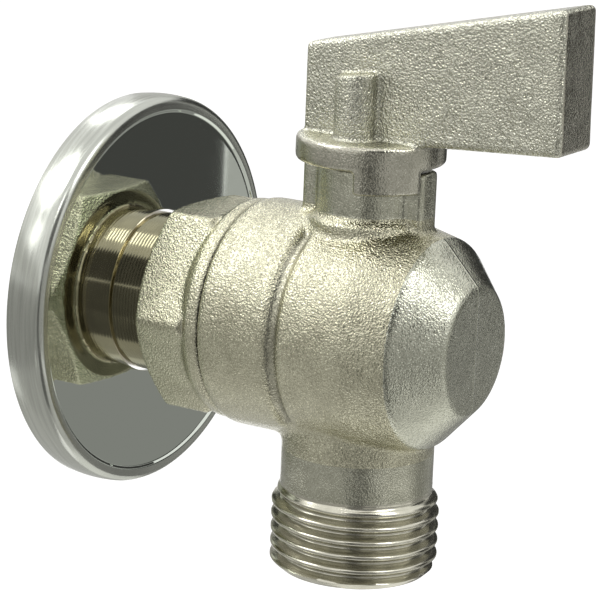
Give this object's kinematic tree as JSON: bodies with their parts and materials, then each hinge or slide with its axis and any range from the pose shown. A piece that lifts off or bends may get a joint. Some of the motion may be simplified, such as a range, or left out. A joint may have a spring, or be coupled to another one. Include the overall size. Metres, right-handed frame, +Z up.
{
  "type": "angle ball valve",
  "caption": "Angle ball valve for a wall connection, with hexagonal inlet end, downward threaded outlet, quarter-turn wing handle and sliding wall rosette.",
  "frame": {"origin": "where the axis of the inlet thread meets the wall, behind the rosette", "axes": "+X points from the wall into the room along the inlet axis, +Z points up along the stem, and the outlet points to -Z"},
  "size_m": [0.072, 0.0506, 0.0727],
  "materials": {
    "nickel_plated_brass": "blasted forging with bright nickel plating, fine grain",
    "nickel_plated_zinc": "nickel-plated zinc casting with a coarse satin grain",
    "polished_stainless": "mirror-polished stainless sheet",
    "chromed_brass": "polished hard chrome",
    "stem_brass": "turned brass",
    "ptfe": "smooth white PTFE",
    "seal_fibre": "matt pressed fibre",
    "nitrile_rubber": "smooth black rubber",
    "screw_steel": "dark hardened steel"
  },
  "bodies": {
    "valve_body": {"body": "nickel_plated_brass", "inlet_connector": "nickel_plated_brass", "body_seal_ring": "seal_fibre", "ball_seat_inlet": "ptfe", "ball_seat_rear": "ptfe", "stem_thrust_washer": "ptfe"},
    "lever": {"handle": "nickel_plated_zinc", "handle_grub_screw": "screw_steel", "stem": "stem_brass", "stem_o_ring_lower": "nitrile_rubber", "stem_o_ring_upper": "nitrile_rubber", "ball": "chromed_brass"},
    "rosette": {"wall_rosette": "polished_stainless"}
  },
  "joints": [
    {"name": "lever_turn", "type": "hinge", "parent": "valve_body", "child": "lever", "pos_m": [0.0358, 0, 0], "axis": [0, 0, 1], "range_deg": [-90, 0]},
    {"name": "rosette_slide", "type": "slide", "parent": "valve_body", "child": "rosette", "axis": [1, 0, 0], "range_m": [0, 0.0052]}
  ]
}
